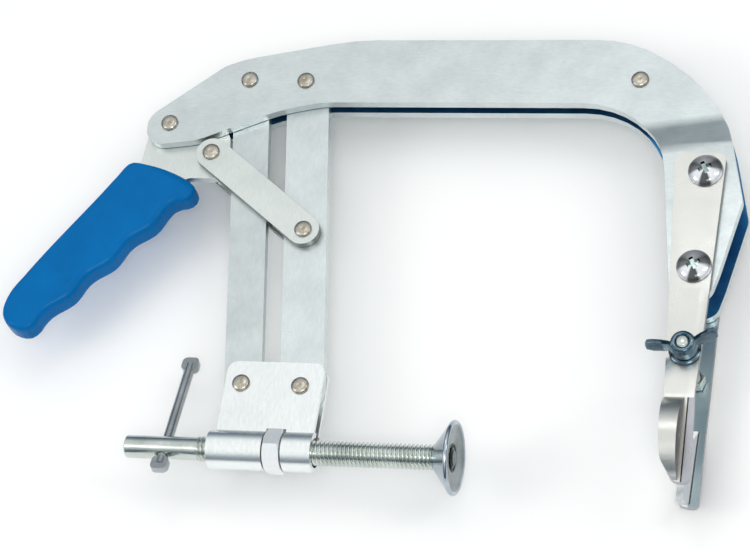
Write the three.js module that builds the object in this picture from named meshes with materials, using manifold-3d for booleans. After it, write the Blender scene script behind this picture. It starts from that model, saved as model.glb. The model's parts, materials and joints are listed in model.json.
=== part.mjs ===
// Lever-action valve spring compressor: C-frame, hand lever, swinging bars, screw and clamp arms.
// Millimetres. The tool lies flat: X along the frame, Y across the throat, Z up out of the frame.
import * as THREE from 'three';
import { mergeVertices } from 'three/addons/utils/BufferGeometryUtils.js';
import Module from 'manifold-3d';

const wasm = await Module();
wasm.setup();

// ---- driving dimensions -------------------------------------------------------------------
const GAP = 0.3;                 // clearance left between neighbouring pieces
const BAR_T = 4.5;               // lever plate and bars, centred on the mid plane
const PLATE_T = 4.5;             // frame plates
const LINK_T = 3.5;
const SHEET_T = 2.3;             // folded screw bracket
const ARM_T = 3.0;
const RIVET_R = 2.9;
const HEAD_R = 4.3;
const HEAD_H = 1.7;

const LEVER_PIVOT = [-116.5, 79.4];
const LEFT_BAR_TOP = [-79.0, 104.6];
const RIGHT_BAR_TOP = [-49.75, 104.1];
const BAR_REACH = [24.0, -166.3];  // from the top pivot of a bar to its lower one
const LINK_PIN = [-92.2, 63.5];
const SPACER_AT = [118.0, 105.0];
const LEFT_BAR_R = 9.15;
const RIGHT_BAR_R = 10.7;
const LINK_R = 8.0;

const SCREW_Y = -94.2;
const SCREW_R = 5.95;
const HEAD_LEFT = -107.6;        // ends of the plain head of the screw
const HEAD_RIGHT = -71.3;
const HEAD_SCREW_R = 5.4;
const TOMMY_X = -88.4;
const TOMMY_R = 2.5;
const TOMMY_LONG = 54.7;
const TOMMY_SHORT = 13.8;
const PADDLE = [8.2, 7.6, 3.4];    // flattened ends: across, along the bar, thickness
const TOMMY_TILT = THREE.MathUtils.degToRad(14);
const PAD_BACK = 43.1;
const PAD_FACE = 53.3;
const PAD_R = 17.5;

const TUBE_R = 9.3;
const BRACKET_X = [-63.0, -15.2];
const TUBE_X = [-65.5, -14.5];
const FLANGE_TOP = -50.0;
const NUT_X = -33.6;
const NUT_T = 9.0;
const NUT_AF = 19.0;
const NUT_TURN = THREE.MathUtils.degToRad(5);

const JOGGLE_AT = [125.1, 78.7];   // a point on the upper bend line
const JOGGLE_TILT = THREE.MathUtils.degToRad(8.6);
const JOGGLE_LENGTH = 18.0;
const JOGGLE_STEP = 5.75;

const ARM_SCREWS = [[156.6, 49.6], [156.3, -0.9]];
const ADJUSTER = [157.2, -45.3];
const ARM_BEND_Y = -12.0;          // below this the arms spread a little
const ARM_SPREAD = 3.3;            // spread reached where the claws start
const CLAW_TOP_Y = -67.0;
const CLAW_END_Y = -115.0;
const CLAW_LEAN = THREE.MathUtils.degToRad(5.8);
const CLAW_Y = -88.3;              // middle of the pressed pocket
const CLAW_R = 22.0;               // outer radius of the pocket
const CLAW_BULGE = 12.0;
const CLAW_WALL = [156.8, 159.4];  // closing wall of the pocket, along X
const CLAW_SHEET = 2.6;            // thickness left in the pressed shell
const MOUTH_X = 161.1;             // flared edge of the pocket on the inner face
const MOUTH_DEPTH = 2.2;

const BAR_Z = BAR_T / 2;
const PLATE_Z = BAR_Z + GAP;
const PLATE_TOP = PLATE_Z + PLATE_T;
const LEG_Z = PLATE_Z + JOGGLE_STEP;
const LEG_TOP = LEG_Z + PLATE_T;
const ARM_Z = LEG_TOP + GAP;
const ARM_TOP = ARM_Z + ARM_T;
const CLAW_Z = ARM_Z + ARM_SPREAD;
const spreadAt = (y) => ARM_SPREAD * (ARM_BEND_Y - y) / (ARM_BEND_Y - CLAW_TOP_Y);
const LINK_TOP = PLATE_Z + LINK_T;
const SHEET_TOP = PLATE_Z + SHEET_T;

const shift = (a, b) => [a[0] + b[0], a[1] + b[1]];
const LEFT_BAR_FOOT = shift(LEFT_BAR_TOP, BAR_REACH);
const RIGHT_BAR_FOOT = shift(RIGHT_BAR_TOP, BAR_REACH);
const BAR_PIN = shift(RIGHT_BAR_TOP, [BAR_REACH[0] / 2, BAR_REACH[1] / 2]);

// ---- finishes -----------------------------------------------------------------------------
const finish = (color, roughness, metalness) => ({ color, roughness, metalness });
const ZINC = finish(0xc6cfd2, 0.42, 0.75);
const ARM_STEEL = finish(0xe6e7de, 0.45, 0.6);
const RIVET_STEEL = finish(0xb5aca2, 0.4, 0.8);
const CHROME = finish(0xd9dcdd, 0.12, 1.0);
const SCREW_ZINC = finish(0xa9b0aa, 0.35, 0.85);
const BLUE = finish(0x0068b0, 0.28, 0.0);

// ---- geometry helpers ---------------------------------------------------------------------
// A closed outline from corner points [x, y, radius], every corner rounded by its radius.
function rounded(corners, step = 10) {
  const out = [];
  const n = corners.length;
  for (let i = 0; i < n; i += 1) {
    const [x, y, r] = corners[i];
    const p = new THREE.Vector2(x, y);
    const a = new THREE.Vector2(...corners[(i + n - 1) % n]).sub(p).normalize();
    const b = new THREE.Vector2(...corners[(i + 1) % n]).sub(p).normalize();
    const half = Math.acos(THREE.MathUtils.clamp(a.dot(b), -1, 1)) / 2;
    if (!r || Math.PI / 2 - half < 0.02) {
      out.push([x, y]);
      continue;
    }
    const centre = a.clone().add(b).normalize().multiplyScalar(r / Math.sin(half)).add(p);
    const start = p.clone().addScaledVector(a, r / Math.tan(half)).sub(centre).angle();
    const end = p.clone().addScaledVector(b, r / Math.tan(half)).sub(centre).angle();
    const sweep = Math.atan2(Math.sin(end - start), Math.cos(end - start));
    const parts = Math.max(1, Math.ceil(Math.abs(sweep) / THREE.MathUtils.degToRad(step)));
    for (let k = 0; k <= parts; k += 1) {
      const t = start + sweep * k / parts;
      out.push([centre.x + r * Math.cos(t), centre.y + r * Math.sin(t)]);
    }
  }
  return out;
}

// The same corners moved outwards by d along both neighbouring edges.
function grown(corners, d) {
  const n = corners.length;
  return corners.map(([x, y, r], i) => {
    const p = new THREE.Vector2(x, y);
    const u = p.clone().sub(new THREE.Vector2(...corners[(i + n - 1) % n])).normalize();
    const v = new THREE.Vector2(...corners[(i + 1) % n]).sub(p).normalize();
    const s = d / (1 + u.dot(v));
    return [x + s * (u.y + v.y), y - s * (u.x + v.x), r + d];
  });
}

// Outline of a flat bar with round ends about two pivots.
function stadium(a, b, r, parts = 14) {
  const turn = Math.atan2(b[1] - a[1], b[0] - a[0]);
  const out = [];
  for (const [c, from] of [[b, turn - Math.PI / 2], [a, turn + Math.PI / 2]]) {
    for (let k = 0; k <= parts; k += 1) {
      const t = from + Math.PI * k / parts;
      out.push([c[0] + r * Math.cos(t), c[1] + r * Math.sin(t)]);
    }
  }
  return out;
}

function circle(at, r, n = 32, turn = 0) {
  return Array.from({ length: n }, (_, k) => {
    const t = turn + 2 * Math.PI * k / n;
    return [at[0] + r * Math.cos(t), at[1] + r * Math.sin(t)];
  });
}

function solid(geometry) {
  const bare = new THREE.BufferGeometry();
  bare.setAttribute('position', geometry.getAttribute('position').clone());
  if (geometry.index) bare.setIndex(geometry.index.clone());
  const merged = mergeVertices(bare, 1e-4);
  return new wasm.Manifold(new wasm.Mesh({
    numProp: 3,
    vertProperties: new Float32Array(merged.getAttribute('position').array),
    triVerts: new Uint32Array(merged.index.array),
  }));
}

// Prism over an outline in the XY plane, from z0 to z1.
function prism(outline, z0, z1, turn = null) {
  const shape = new THREE.Shape(outline.map(([x, y]) => new THREE.Vector2(x, y)));
  const geometry = new THREE.ExtrudeGeometry(shape, { depth: z1 - z0, bevelEnabled: false });
  geometry.translate(0, 0, z0);
  if (turn) geometry.applyMatrix4(turn);
  return solid(geometry);
}

// Prism whose outline lies in the YZ plane, from x0 to x1.
const ALONG_X = new THREE.Matrix4().set(0, 0, 1, 0, 1, 0, 0, 0, 0, 1, 0, 0, 0, 0, 0, 1);
const prismX = (outline, x0, x1) => prism(outline, x0, x1, ALONG_X);

// Turned body about the Z axis through `at`; the profile is a closed list of [radius, z].
function turned(at, profile, n = 30) {
  const closed = [...profile, profile[0]].map(([r, z]) => new THREE.Vector2(r, z));
  const geometry = new THREE.LatheGeometry(closed, n);
  geometry.rotateX(Math.PI / 2);
  geometry.translate(at[0], at[1], 0);
  return outward(geometry);
}

// Turned body about the screw axis; the profile is a list of [x, radius].
function turnedX(profile, n = 48) {
  const closed = [...profile, profile[0]].map(([x, r]) => new THREE.Vector2(r, x));
  const geometry = new THREE.LatheGeometry(closed, n);
  geometry.rotateZ(-Math.PI / 2);
  geometry.translate(0, SCREW_Y, 0);
  return outward(geometry);
}

// Turns a shell the right way out before it becomes a solid.
function outward(geometry) {
  const flat = geometry.index ? geometry.toNonIndexed() : geometry;
  const p = flat.getAttribute('position');
  const a = new THREE.Vector3();
  const b = new THREE.Vector3();
  const c = new THREE.Vector3();
  let volume = 0;
  for (let i = 0; i < p.count; i += 3) {
    a.fromBufferAttribute(p, i);
    b.fromBufferAttribute(p, i + 1);
    c.fromBufferAttribute(p, i + 2);
    volume += a.dot(b.cross(c));
  }
  if (volume < 0) {
    for (let i = 0; i < p.count; i += 3) {
      b.fromBufferAttribute(p, i + 1);
      c.fromBufferAttribute(p, i + 2);
      p.setXYZ(i + 1, c.x, c.y, c.z);
      p.setXYZ(i + 2, b.x, b.y, b.z);
    }
  }
  const bare = new THREE.BufferGeometry();
  bare.setAttribute('position', p);
  return solid(dropSlivers(bare));
}

function dropSlivers(geometry) {
  const merged = mergeVertices(geometry, 1e-4);
  const index = merged.index.array;
  const kept = [];
  for (let i = 0; i < index.length; i += 3) {
    const [a, b, c] = [index[i], index[i + 1], index[i + 2]];
    if (a !== b && b !== c && c !== a) kept.push(a, b, c);
  }
  merged.setIndex(kept);
  return merged;
}

const less = (body, ...cuts) => cuts.reduce((sum, cut) => sum.subtract(cut), body);
const plus = (body, ...adds) => adds.reduce((sum, more) => sum.add(more), body);

const group = new THREE.Group();
group.name = 'valve_spring_compressor';

function keep(name, body, look, flipped = false) {
  const mesh = body.getMesh();
  const geometry = new THREE.BufferGeometry();
  const points = Float32Array.from(mesh.vertProperties);
  const faces = Uint32Array.from(mesh.triVerts);
  if (flipped) {
    for (let i = 2; i < points.length; i += 3) points[i] = -points[i];
    for (let i = 0; i < faces.length; i += 3) [faces[i], faces[i + 1]] = [faces[i + 1], faces[i]];
  }
  geometry.setAttribute('position', new THREE.BufferAttribute(points, 3));
  geometry.setIndex(new THREE.BufferAttribute(faces, 1));
  geometry.computeVertexNormals();
  const material = new THREE.MeshStandardMaterial({ ...look, flatShading: true });
  const node = new THREE.Mesh(geometry, material);
  node.name = name;
  group.add(node);
}

const hole = (at, r, z0 = -30, z1 = 30, n = 28) => prism(circle(at, r, n), z0, z1);

// ---- frame plates -------------------------------------------------------------------------
const FRAME_OUTLINE = [
  [-127.0, 66.3, 9], [-101.0, 69.5, 30], [-62.0, 86.6, 80], [-40.0, 91.7, 50],
  [130.5, 91.7, 45], [145.6, -15.2, 8], [164.0, -15.2, 7], [167.4, -2.0, 30],
  [174.8, 36.0, 7], [163.0, 82.5, 60], [142.0, 107.5, 60], [112.0, 127.7, 60],
  [-28.0, 127.7, 120], [-84.0, 116.5, 60], [-93.5, 112.3, 12], [-128.4, 83.0, 10],
];

// Side profile of the sheet where it steps outwards, swept along the bend line.
function joggledSheet() {
  const far = 260;
  const profile = [
    [-far, PLATE_Z], [0, PLATE_Z], [JOGGLE_LENGTH, LEG_Z], [far, LEG_Z],
    [far, LEG_TOP], [JOGGLE_LENGTH, LEG_TOP], [0, PLATE_TOP], [-far, PLATE_TOP],
  ];
  const place = new THREE.Matrix4().makeRotationZ(JOGGLE_TILT);
  place.setPosition(JOGGLE_AT[0], JOGGLE_AT[1], 0);
  // local X runs down the sheet, local Y up out of it, the sweep follows the bend line
  const turn = new THREE.Matrix4().set(0, 0, 1, 0, -1, 0, 0, 0, 0, 1, 0, 0, 0, 0, 0, 1);
  const shape = new THREE.Shape(profile.map(([s, z]) => new THREE.Vector2(s, z)));
  const geometry = new THREE.ExtrudeGeometry(shape, { depth: 800, bevelEnabled: false });
  geometry.translate(0, 0, -400);
  geometry.applyMatrix4(turn);
  geometry.applyMatrix4(place);
  return outward(geometry);
}

const framePlate = less(
  joggledSheet().intersect(prism(rounded(FRAME_OUTLINE), -40, 40)),
  hole(LEVER_PIVOT, RIVET_R + GAP),
  hole(LEFT_BAR_TOP, RIVET_R + GAP),
  hole(RIGHT_BAR_TOP, RIVET_R + GAP),
  hole(SPACER_AT, RIVET_R + GAP),
  ...ARM_SCREWS.map((at) => hole(at, 3.0 + GAP)),
);
keep('front_frame_plate', framePlate, ZINC);
keep('rear_frame_plate', framePlate, ZINC, true);

const spacer = less(hole(SPACER_AT, 6.5, -BAR_Z, BAR_Z, 36), hole(SPACER_AT, RIVET_R + GAP));
keep('frame_spacer', spacer, ZINC);

// ---- rivets -------------------------------------------------------------------------------
// Shank with a low domed head on both faces of a stack that is `reach` thick either side.
function domeAbove(z) {
  return [[HEAD_R, z], [HEAD_R, z + 0.5], [HEAD_R * 0.86, z + 1.1], [HEAD_R * 0.5, z + HEAD_H]];
}

function rivet(at, reach) {
  const z = reach + GAP;
  const top = domeAbove(z);
  const side = [[RIVET_R, -z], [RIVET_R, z], ...top, [0, z + HEAD_H]];
  const low = top.map(([r, h]) => [r, -h]).reverse();
  return turned(at, [[0, -z - HEAD_H], ...low, ...side]);
}

const RIVETS = {
  lever_pivot_rivet: [LEVER_PIVOT, PLATE_TOP],
  left_bar_pivot_rivet: [LEFT_BAR_TOP, PLATE_TOP],
  right_bar_pivot_rivet: [RIGHT_BAR_TOP, PLATE_TOP],
  frame_spacer_rivet: [SPACER_AT, PLATE_TOP],
  lever_link_rivet: [LINK_PIN, LINK_TOP],
  bracket_left_rivet: [LEFT_BAR_FOOT, SHEET_TOP],
  bracket_right_rivet: [RIGHT_BAR_FOOT, SHEET_TOP],
};
for (const [name, [at, reach]] of Object.entries(RIVETS)) keep(name, rivet(at, reach), RIVET_STEEL);

// The lower link rivet is parted at the faces of the bar, where the linkage is opened.
const stubFoot = PLATE_Z + 0.2;
const stub = turned(BAR_PIN, [
  [0, stubFoot], [RIVET_R, stubFoot], [RIVET_R, LINK_TOP + GAP], ...domeAbove(LINK_TOP + GAP),
  [0, LINK_TOP + GAP + HEAD_H],
]);
keep('link_rivet_front_head', stub, RIVET_STEEL);
keep('link_rivet_rear_head', stub, RIVET_STEEL, true);
keep('link_rivet_core', hole(BAR_PIN, RIVET_R, -BAR_Z, BAR_Z, 36), RIVET_STEEL);

// ---- lever --------------------------------------------------------------------------------
const LEVER_OUTLINE = [
  [-127.0, 89.0, 9], [-129.4, 58.0, 6], [-150.0, 15.0, 60], [-169.0, -18.5, 3],
  [-161.5, -22.0, 3], [-128.0, 17.0, 40], [-104.5, 50.8, 6], [-81.7, 50.8, 9],
  [-85.4, 76.0, 8], [-107.0, 89.0, 9],
];
const leverPlate = less(
  prism(rounded(LEVER_OUTLINE), -BAR_Z, BAR_Z),
  hole(LEVER_PIVOT, RIVET_R + GAP),
  hole(LINK_PIN, RIVET_R + GAP),
);
keep('lever_plate', leverPlate, ZINC);

// Moulded grip, drawn along its own axis: s runs down the grip, w across it from the back edge.
const GRIP_TOP = [-135.5, 56.0];
const GRIP_AXIS = new THREE.Vector2(-50.4, -84.0).normalize();
const FINGER_PITCH = 26;
const GRIP_LENGTH = 92;
const fingerEdge = (s) => 36.6 - 0.185 * s + 1.4 * Math.cos(2 * Math.PI * (s - 18.5) / FINGER_PITCH);
const backEdge = (s) => -3.0 * Math.sin(Math.PI * s / 150) ** 2;
const GRIP_HEAD = [[-2.5, 1], [-6.6, 10], [-9.6, 21], [-10.6, 32], [-9.6, 38], [-6, 40.6], [-1.6, 39.6]];
const GRIP_TAIL = [[97, 18.4], [99.8, 12.5], [99.4, 6.0], [95.6, 0.8]];
const GRIP_RINGS = [
  [-6.8, 3.0], [-6.3, 1.6], [-5.4, 0.6], [-4.2, 0], [4.2, 0], [5.4, 0.6], [6.3, 1.6], [6.8, 3.0],
];

function gripOutline() {
  const along = (from, to, n) => Array.from({ length: n }, (_, k) => from + (to - from) * k / (n - 1));
  const front = along(3, GRIP_LENGTH, 22).map((s) => [s, fingerEdge(s)]);
  const back = along(86, 8, 8).map((s) => [s, backEdge(s)]);
  return [...GRIP_HEAD, ...front, ...GRIP_TAIL, ...back].map(([s, w]) => [
    GRIP_TOP[0] + s * GRIP_AXIS.x - w * GRIP_AXIS.y,
    GRIP_TOP[1] + s * GRIP_AXIS.y + w * GRIP_AXIS.x,
  ]);
}

function gripBody() {
  const control = gripOutline().reverse().map(([x, y]) => new THREE.Vector3(x, y, 0));
  const curve = new THREE.CatmullRomCurve3(control, true, 'centripetal');
  const n = 90;
  const line = curve.getSpacedPoints(n).slice(0, n);
  const inset = (d) => line.map((p, i) => {
    const t = line[(i + 1) % n].clone().sub(line[(i + n - 1) % n]).normalize();
    // the curve runs anticlockwise, so its inner side is to the left
    return new THREE.Vector2(p.x - d * t.y, p.y + d * t.x);
  });
  const rings = GRIP_RINGS.map(([z, d]) => ({ z, points: inset(d) }));
  const position = rings.flatMap(({ z, points }) => points.flatMap((p) => [p.x, p.y, z]));
  const faces = [];
  for (let k = 0; k + 1 < rings.length; k += 1) {
    for (let i = 0; i < n; i += 1) {
      const a = k * n + i;
      const b = k * n + (i + 1) % n;
      faces.push(a, b, b + n, a, b + n, a + n);
    }
  }
  const last = (rings.length - 1) * n;
  const bottom = THREE.ShapeUtils.triangulateShape(rings[0].points, []);
  const top = THREE.ShapeUtils.triangulateShape(rings[rings.length - 1].points, []);
  for (const [a, b, c] of bottom) faces.push(c, b, a);
  for (const [a, b, c] of top) faces.push(last + a, last + b, last + c);
  const geometry = new THREE.BufferGeometry();
  geometry.setAttribute('position', new THREE.Float32BufferAttribute(position, 3));
  geometry.setIndex(faces);
  return outward(geometry);
}

const tangSlot = prism(rounded(grown(LEVER_OUTLINE, GAP)), -PLATE_Z, PLATE_Z);
keep('grip', less(gripBody(), tangSlot), BLUE);

// ---- links and bars -----------------------------------------------------------------------
const link = less(
  prism(stadium(LINK_PIN, BAR_PIN, LINK_R), PLATE_Z, LINK_TOP),
  hole(LINK_PIN, RIVET_R + GAP),
  hole(BAR_PIN, RIVET_R + GAP),
);
keep('front_link', link, ZINC);
keep('rear_link', link, ZINC, true);

const leftBar = less(
  prism(stadium(LEFT_BAR_TOP, LEFT_BAR_FOOT, LEFT_BAR_R), -BAR_Z, BAR_Z),
  hole(LEFT_BAR_TOP, RIVET_R + GAP),
  hole(LEFT_BAR_FOOT, RIVET_R + GAP),
);
keep('left_bar', leftBar, ZINC);

const rightBar = less(
  prism(stadium(RIGHT_BAR_TOP, RIGHT_BAR_FOOT, RIGHT_BAR_R), -BAR_Z, BAR_Z),
  hole(RIGHT_BAR_TOP, RIVET_R + GAP),
  hole(RIGHT_BAR_FOOT, RIVET_R + GAP),
  hole(BAR_PIN, RIVET_R + GAP),
);
keep('right_bar', rightBar, ZINC);

// ---- folded bracket with its captive nut --------------------------------------------------
const axisYZ = [SCREW_Y, 0];
const tube = less(
  prismX(circle(axisYZ, TUBE_R, 48), ...TUBE_X),
  prismX(circle(axisYZ, TUBE_R - SHEET_T, 48), TUBE_X[0] - 1, TUBE_X[1] + 1),
  prismX([[SCREW_Y, -PLATE_Z], [FLANGE_TOP, -PLATE_Z], [FLANGE_TOP, PLATE_Z], [SCREW_Y, PLATE_Z]], -80, 0),
);
const flangeOutline = rounded([
  [BRACKET_X[0], SCREW_Y + 7.4, 0], [BRACKET_X[1], SCREW_Y + 7.4, 0],
  [BRACKET_X[1], FLANGE_TOP, 5.0], [BRACKET_X[0], FLANGE_TOP, 5.0],
]);
const nutCorner = (extra) => (NUT_AF / 2 + extra) / Math.cos(Math.PI / 6);
const nutOutline = (extra) => circle(axisYZ, nutCorner(extra), 6, Math.PI / 6 + NUT_TURN);
const bracket = less(
  plus(tube, prism(flangeOutline, PLATE_Z, SHEET_TOP), prism(flangeOutline, -SHEET_TOP, -PLATE_Z)),
  prismX(nutOutline(GAP), NUT_X - NUT_T / 2 - GAP, NUT_X + NUT_T / 2 + GAP),
  hole(LEFT_BAR_FOOT, RIVET_R + GAP),
  hole(RIGHT_BAR_FOOT, RIVET_R + GAP),
);
keep('screw_bracket', bracket, ZINC);

const nutChamfer = turnedX([
  [NUT_X - NUT_T / 2, SCREW_R + GAP], [NUT_X - NUT_T / 2, NUT_AF / 2],
  [NUT_X - NUT_T / 2 + 0.9, NUT_AF / 2 + 1.6], [NUT_X + NUT_T / 2 - 0.9, NUT_AF / 2 + 1.6],
  [NUT_X + NUT_T / 2, NUT_AF / 2], [NUT_X + NUT_T / 2, SCREW_R + GAP],
]);
keep('captive_nut', nutChamfer.intersect(prismX(nutOutline(0), NUT_X - NUT_T, NUT_X + NUT_T)), ZINC);

// ---- screw, pad and tommy bar -------------------------------------------------------------
// Bar axis: crosses the screw axis, leaning back from the throat direction.
function alongTommy(geometry) {
  geometry.rotateX(-TOMMY_TILT);
  geometry.translate(TOMMY_X, SCREW_Y, 0);
  return outward(geometry);
}

const screwBody = turnedX([
  [HEAD_LEFT, 0], [HEAD_LEFT, HEAD_SCREW_R - 0.7], [HEAD_LEFT + 0.7, HEAD_SCREW_R],
  [HEAD_RIGHT, HEAD_SCREW_R], [HEAD_RIGHT + 0.6, SCREW_R], [PAD_BACK - 0.9, SCREW_R],
  [PAD_BACK - GAP, SCREW_R - 0.6], [PAD_BACK - GAP, 3.0], [49.7, 3.0], [49.7, 4.9],
  [51.6, 4.9], [52.4, 3.4], [52.4, 0],
]);
const crossHole = alongTommy(new THREE.CylinderGeometry(TOMMY_R + GAP, TOMMY_R + GAP, 30, 28));
keep('screw', less(screwBody, crossHole), SCREW_ZINC);

keep('foot_pad', turnedX([
  [PAD_BACK, 3.3], [PAD_BACK, 6.3], [49.4, 16.6], [49.8, PAD_R], [PAD_FACE - 0.4, PAD_R],
  [PAD_FACE, PAD_R - 0.4], [PAD_FACE, 5.6], [49.4, 5.6], [49.4, 3.3],
], 60), CHROME);

const [PADDLE_W, PADDLE_H, PADDLE_T] = PADDLE;
const paddle = rounded([
  [-PADDLE_W / 2, -PADDLE_H / 2, 2.4], [PADDLE_W / 2, -PADDLE_H / 2, 2.4],
  [PADDLE_W / 2, PADDLE_H / 2, 2.4], [-PADDLE_W / 2, PADDLE_H / 2, 2.4],
], 22);
function paddleAt(y) {
  const shape = new THREE.Shape(paddle.map(([x, z]) => new THREE.Vector2(x, z)));
  const geometry = new THREE.ExtrudeGeometry(shape, { depth: PADDLE_T, bevelEnabled: false });
  geometry.translate(0, y, -PADDLE_T / 2);
  return alongTommy(geometry);
}
const rod = new THREE.CylinderGeometry(TOMMY_R, TOMMY_R, TOMMY_LONG + TOMMY_SHORT - PADDLE_H, 28);
rod.translate(0, (TOMMY_LONG - TOMMY_SHORT) / 2, 0);
keep('tommy_bar', plus(
  alongTommy(rod),
  paddleAt(TOMMY_LONG - PADDLE_H / 2),
  paddleAt(PADDLE_H / 2 - TOMMY_SHORT),
), SCREW_ZINC);

// ---- clamp arms ---------------------------------------------------------------------------
const ARM_OUTLINE = [
  [141.0, 59.7, 4.5], [147.4, -33.0, 60], [150.0, CLAW_TOP_Y, 20], [151.2, -90.0, 30],
  [152.2, -101.5, 6], [157.4, -108.8, 6], [165.0, -108.8, 2.6], [163.8, CLAW_TOP_Y, 30],
  [164.4, -18.0, 60], [165.6, 59.7, 4.5],
];

// Points [y, z] of the claw, leaned back towards the middle about the line where it starts.
const leaned = (points) => points.map(([y, z]) => {
  const dy = y - CLAW_TOP_Y;
  const dz = z - CLAW_Z;
  const c = Math.cos(CLAW_LEAN);
  const s = Math.sin(CLAW_LEAN);
  return [CLAW_TOP_Y + c * dy - s * dz, CLAW_Z + s * dy + c * dz];
});

// Arc of the pocket above the level z, `inside` the outer radius.
function pocketArc(inside, z, parts = 20) {
  const r = CLAW_R - inside;
  const centre = CLAW_Z + ARM_T + CLAW_BULGE - CLAW_R;
  const half = Math.acos((z - centre) / r);
  return Array.from({ length: parts + 1 }, (_, k) => {
    const t = -half + 2 * half * k / parts;
    return [CLAW_Y + r * Math.sin(t), centre + r * Math.cos(t)];
  });
}

// The bent strip seen from its edge: flat on the leg, spreading, then leaning back at the claw.
const tip = leaned([[CLAW_END_Y, CLAW_Z], [CLAW_END_Y, CLAW_Z + ARM_T]]);
const stripProfile = [
  [70, ARM_Z], [ARM_BEND_Y, ARM_Z], [CLAW_TOP_Y, CLAW_Z], tip[0],
  tip[1], [CLAW_TOP_Y, CLAW_Z + ARM_T], [ARM_BEND_Y, ARM_TOP], [70, ARM_TOP],
];
const strip = prismX(stripProfile, 130, 180);
const pocketShell = prismX(leaned(pocketArc(0, CLAW_Z)), 140, CLAW_WALL[1]);
const innerArc = pocketArc(CLAW_SHEET, CLAW_Z);
const last = innerArc[innerArc.length - 1];
const pocketHollow = prismX(
  leaned([...innerArc, [last[0], CLAW_Z - 6], [innerArc[0][0], CLAW_Z - 6]]),
  135,
  CLAW_WALL[0],
);
// Flared lead-in around the pocket: a wide thin slice at the inner face drawn in to the wall.
function mouthSlice(x, reach, z) {
  const [low, high] = [CLAW_Y - reach, CLAW_Y + reach];
  return prism([[135, low], [x, low], [x, high], [135, high]], z, z + 0.1);
}
const mouthReach = CLAW_Y - innerArc[0][0];
const pocketMouth = wasm.Manifold.hull([
  mouthSlice(MOUTH_X, mouthReach + 1.0, CLAW_Z - 0.1),
  mouthSlice(CLAW_WALL[0], mouthReach - 3.0, CLAW_Z + MOUTH_DEPTH),
])
  .translate([0, -CLAW_TOP_Y, -CLAW_Z])
  .rotate([THREE.MathUtils.radToDeg(CLAW_LEAN), 0, 0])
  .translate([0, CLAW_TOP_Y, CLAW_Z]);
const arm = less(
  plus(strip, pocketShell).intersect(prism(rounded(ARM_OUTLINE), 0, 60)),
  pocketHollow,
  pocketMouth,
  ...ARM_SCREWS.map((at) => hole(at, 3.0 + GAP)),
  hole(ADJUSTER, 3.0 + 2 * GAP),
);
keep('front_arm', arm, ARM_STEEL);
keep('rear_arm', arm, ARM_STEEL, true);

// Cross-recessed pan head screws that hold the arms on the legs.
function armScrew(at) {
  const z = ARM_TOP + GAP;
  const body = turned(at, [
    [0, LEG_Z], [2.4, LEG_Z], [3.0, LEG_Z + 0.6], [3.0, z], [8.1, z], [8.2, z + 1.0],
    [7.5, z + 2.2], [5.7, z + 3.2], [2.9, z + 3.7], [0, z + 3.8],
  ]);
  const slot = (turn) => {
    const c = Math.cos(turn);
    const s = Math.sin(turn);
    const corners = [[-3.6, -0.75], [3.6, -0.75], [3.6, 0.75], [-3.6, 0.75]];
    return prism(corners.map(([x, y]) => [at[0] + c * x - s * y, at[1] + s * x + c * y]), z + 1.6, z + 6);
  };
  return less(body, slot(0.5), slot(0.5 + Math.PI / 2));
}
for (const [where, at] of [['upper', ARM_SCREWS[0]], ['lower', ARM_SCREWS[1]]]) {
  keep(`front_arm_screw_${where}`, armScrew(at), CHROME);
  keep(`rear_arm_screw_${where}`, armScrew(at), CHROME, true);
}

// ---- width adjuster -----------------------------------------------------------------------
const hex = (at, across, z0, z1) => prism(circle(at, across / 2 / Math.cos(Math.PI / 6), 6, 0.2), z0, z1);
const SEAT_Z = ARM_TOP + spreadAt(ADJUSTER[1] - 8) + GAP;  // clears the sloping arm
const NUT_SEAT_Z = ARM_Z + spreadAt(ADJUSTER[1] + 6) - GAP;
const WASHER_T = 1.4;
const WING_TURN = THREE.MathUtils.degToRad(13);
const WING_Z = SEAT_Z + WASHER_T + GAP;
const shank = turned(ADJUSTER, [
  [0, -SEAT_Z - 1], [3.0, -SEAT_Z - 1], [3.0, WING_Z + 7.6], [2.3, WING_Z + 8.3], [0, WING_Z + 8.3],
]);
keep('adjuster_bolt', plus(shank, hex(ADJUSTER, 10, -SEAT_Z - 4, -SEAT_Z)), ZINC);
keep('adjuster_lock_nut', less(
  hex(ADJUSTER, 8.6, -NUT_SEAT_Z, -NUT_SEAT_Z + 5),
  hole(ADJUSTER, 3.0 + GAP),
), ZINC);
keep('wing_nut_washer', less(
  hole(ADJUSTER, 7.5, SEAT_Z, SEAT_Z + WASHER_T, 36),
  hole(ADJUSTER, 3.0 + GAP),
), ZINC);

// Two wings rise from the boss and lean outwards.
function wing(side) {
  const outline = rounded([
    [4.0, 0.4, 0], [9.0, 2.4, 3], [16.6, 7.0, 2.6], [16.0, 14.6, 3], [8.8, 11.4, 2], [4.0, 6.0, 0],
  ], 14);
  const shape = new THREE.Shape(outline.map(([x, z]) => new THREE.Vector2(x, z)));
  const geometry = new THREE.ExtrudeGeometry(shape, { depth: 2.4, bevelEnabled: false });
  geometry.translate(0, 0, -1.2);
  geometry.rotateX(Math.PI / 2);
  if (side < 0) geometry.rotateZ(Math.PI);
  geometry.rotateZ(WING_TURN);
  geometry.translate(ADJUSTER[0], ADJUSTER[1], WING_Z);
  return outward(geometry);
}
const boss = turned(ADJUSTER, [
  [3.0 + GAP, WING_Z], [6.5, WING_Z], [6.2, WING_Z + 5], [5.2, WING_Z + 7.6], [3.0 + GAP, WING_Z + 7.6],
]);
keep('wing_nut', plus(boss, wing(1), wing(-1)), ZINC);

// ---- origin: middle of the footprint, lowest point at zero --------------------------------
const box = new THREE.Box3().setFromObject(group);
const middle = box.getCenter(new THREE.Vector3());
group.position.set(-middle.x, -middle.y, -box.min.z);

export default group;
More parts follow.
